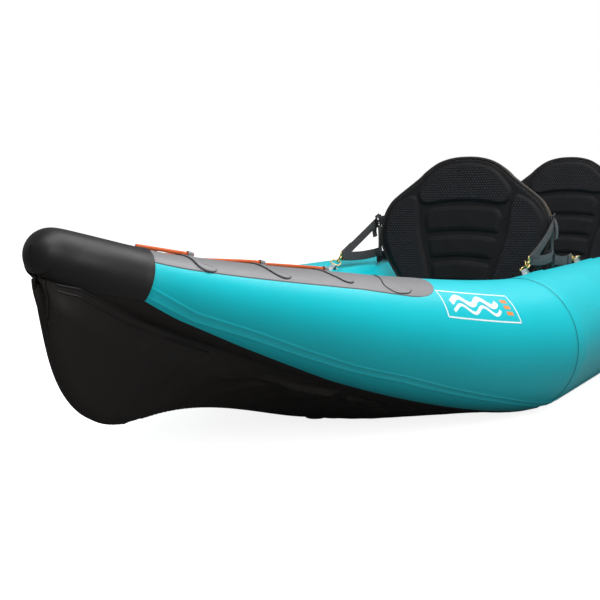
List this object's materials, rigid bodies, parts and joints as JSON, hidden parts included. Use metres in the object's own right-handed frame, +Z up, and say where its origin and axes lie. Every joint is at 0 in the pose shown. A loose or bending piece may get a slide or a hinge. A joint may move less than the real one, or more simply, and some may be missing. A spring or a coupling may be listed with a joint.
{
  "type": "inflatable kayak",
  "caption": "Long inflatable kayak: tapered side tubes rising to covered noses, a flat bottom with V keels at the ends, an inflated floor and folding padded seat backs on straps.",
  "frame": {"origin": "on the ground, in the middle of the hull's flat bottom", "axes": "+X to the bow, +Y to port, +Z up"},
  "size_m": [3.8258, 0.9592, 0.6022],
  "materials": {
    "teal_pvc": "satin coated fabric",
    "black_tarpaulin": "matt, taut and slightly wrinkled",
    "black_rubber": "smooth satin rubber",
    "grey_pvc": "matt moulded sheet",
    "bungee": "braided elastic cord",
    "seat_foam": "embossed foam",
    "seat_shell": "fabric covered panel",
    "webbing": "woven webbing",
    "brass": "polished",
    "black_plastic": "moulded, satin",
    "grey_plastic": "moulded, satin",
    "floor_pvc": "matt coated fabric with a fine texture"
  },
  "bodies": {
    "hull": {"port_tube": "teal_pvc", "starboard_tube": "teal_pvc", "bottom_skin": "black_tarpaulin", "inflatable_floor": "floor_pvc", "bow_keel_panel": "black_rubber", "bow_nose_cover": "black_rubber", "bow_bungee": "bungee", "bow_crest_strip_port": "grey_pvc", "bow_crest_strip_starboard": "grey_pvc", "stern_keel_panel": "black_rubber", "stern_nose_cover": "black_rubber", "stern_bungee": "bungee", "stern_crest_strip_port": "grey_pvc", "stern_crest_strip_starboard": "grey_pvc", "front_seat_cushion": "seat_foam", "front_seat_front_strap_port": "webbing", "front_seat_front_hook_port": "brass", "front_seat_front_anchor_port": "grey_pvc", "front_seat_rear_strap_port": "webbing", "front_seat_rear_hook_port": "brass", "front_seat_rear_anchor_port": "grey_pvc", "front_seat_front_strap_starboard": "webbing", "front_seat_front_hook_starboard": "brass", "front_seat_front_anchor_starboard": "grey_pvc", "front_seat_rear_strap_starboard": "webbing", "front_seat_rear_hook_starboard": "brass", "front_seat_rear_anchor_starboard": "grey_pvc", "rear_seat_cushion": "seat_foam", "rear_seat_front_strap_port": "webbing", "rear_seat_front_hook_port": "brass", "rear_seat_front_anchor_port": "grey_pvc", "rear_seat_rear_strap_port": "webbing", "rear_seat_rear_hook_port": "brass", "rear_seat_rear_anchor_port": "grey_pvc", "rear_seat_front_strap_starboard": "webbing", "rear_seat_front_hook_starboard": "brass", "rear_seat_front_anchor_starboard": "grey_pvc", "rear_seat_rear_strap_starboard": "webbing", "rear_seat_rear_hook_starboard": "brass", "rear_seat_rear_anchor_starboard": "grey_pvc", "port_tube_valve_body": "grey_plastic", "starboard_tube_valve_body": "grey_plastic", "floor_valve_body": "grey_plastic"},
    "bow_toggle": {"bow_carry_toggle": "black_plastic"},
    "stern_toggle": {"stern_carry_toggle": "black_plastic"},
    "front_seat_back": {"front_seat_back_pad": "seat_foam", "front_seat_back_shell": "seat_shell", "front_seat_buckle_port": "black_plastic", "front_seat_buckle_starboard": "black_plastic"},
    "rear_seat_back": {"rear_seat_back_pad": "seat_foam", "rear_seat_back_shell": "seat_shell", "rear_seat_buckle_port": "black_plastic", "rear_seat_buckle_starboard": "black_plastic"},
    "port_tube_valve_plunger": {"port_tube_valve_plunger": "grey_plastic"},
    "port_tube_valve_cap": {"port_tube_valve_cap": "grey_plastic"},
    "starboard_tube_valve_plunger": {"starboard_tube_valve_plunger": "grey_plastic"},
    "starboard_tube_valve_cap": {"starboard_tube_valve_cap": "grey_plastic"},
    "floor_valve_plunger": {"floor_valve_plunger": "grey_plastic"},
    "floor_valve_cap": {"floor_valve_cap": "grey_plastic"},
    "drain_plug": {"drain_plug": "black_plastic"}
  },
  "joints": [
    {"name": "front_seat_back_fold", "type": "hinge", "parent": "hull", "child": "front_seat_back", "pos_m": [0.325, 0, 0.128], "axis": [0, 1, 0], "range_deg": [-10, 26]},
    {"name": "rear_seat_back_fold", "type": "hinge", "parent": "hull", "child": "rear_seat_back", "pos_m": [-0.675, 0, 0.15], "axis": [0, 1, 0], "range_deg": [-10, 40]},
    {"name": "bow_toggle_lift", "type": "hinge", "parent": "hull", "child": "bow_toggle", "pos_m": [1.748, 0, 0.39321], "axis": [0, 1, 0], "range_deg": [-12, 70]},
    {"name": "stern_toggle_lift", "type": "hinge", "parent": "hull", "child": "stern_toggle", "pos_m": [-1.748, 0, 0.39321], "axis": [0, -1, 0], "range_deg": [-12, 70]},
    {"name": "port_tube_valve_cap_twist", "type": "hinge", "parent": "hull", "child": "port_tube_valve_cap", "pos_m": [-0.33, 0.22369, 0.2419], "axis": [0, -0.766, 0.6428], "range_deg": [0, 90]},
    {"name": "port_tube_valve_plunger_press", "type": "slide", "parent": "hull", "child": "port_tube_valve_plunger", "axis": [0, 0.766, -0.6428], "range_m": [0, 0.003]},
    {"name": "starboard_tube_valve_cap_twist", "type": "hinge", "parent": "hull", "child": "starboard_tube_valve_cap", "pos_m": [-0.33, -0.22369, 0.2419], "axis": [0, 0.766, 0.6428], "range_deg": [0, 90]},
    {"name": "starboard_tube_valve_plunger_press", "type": "slide", "parent": "hull", "child": "starboard_tube_valve_plunger", "axis": [0, -0.766, -0.6428], "range_m": [0, 0.003]},
    {"name": "floor_valve_cap_twist", "type": "hinge", "parent": "hull", "child": "floor_valve_cap", "pos_m": [-0.765, 0, 0.0625], "axis": [0, 0, 1], "range_deg": [0, 90]},
    {"name": "floor_valve_plunger_press", "type": "slide", "parent": "hull", "child": "floor_valve_plunger", "axis": [0, 0, -1], "range_m": [0, 0.003]},
    {"name": "drain_plug_pull", "type": "slide", "parent": "hull", "child": "drain_plug", "axis": [0, 0, -1], "range_m": [0, 0.01]}
  ]
}
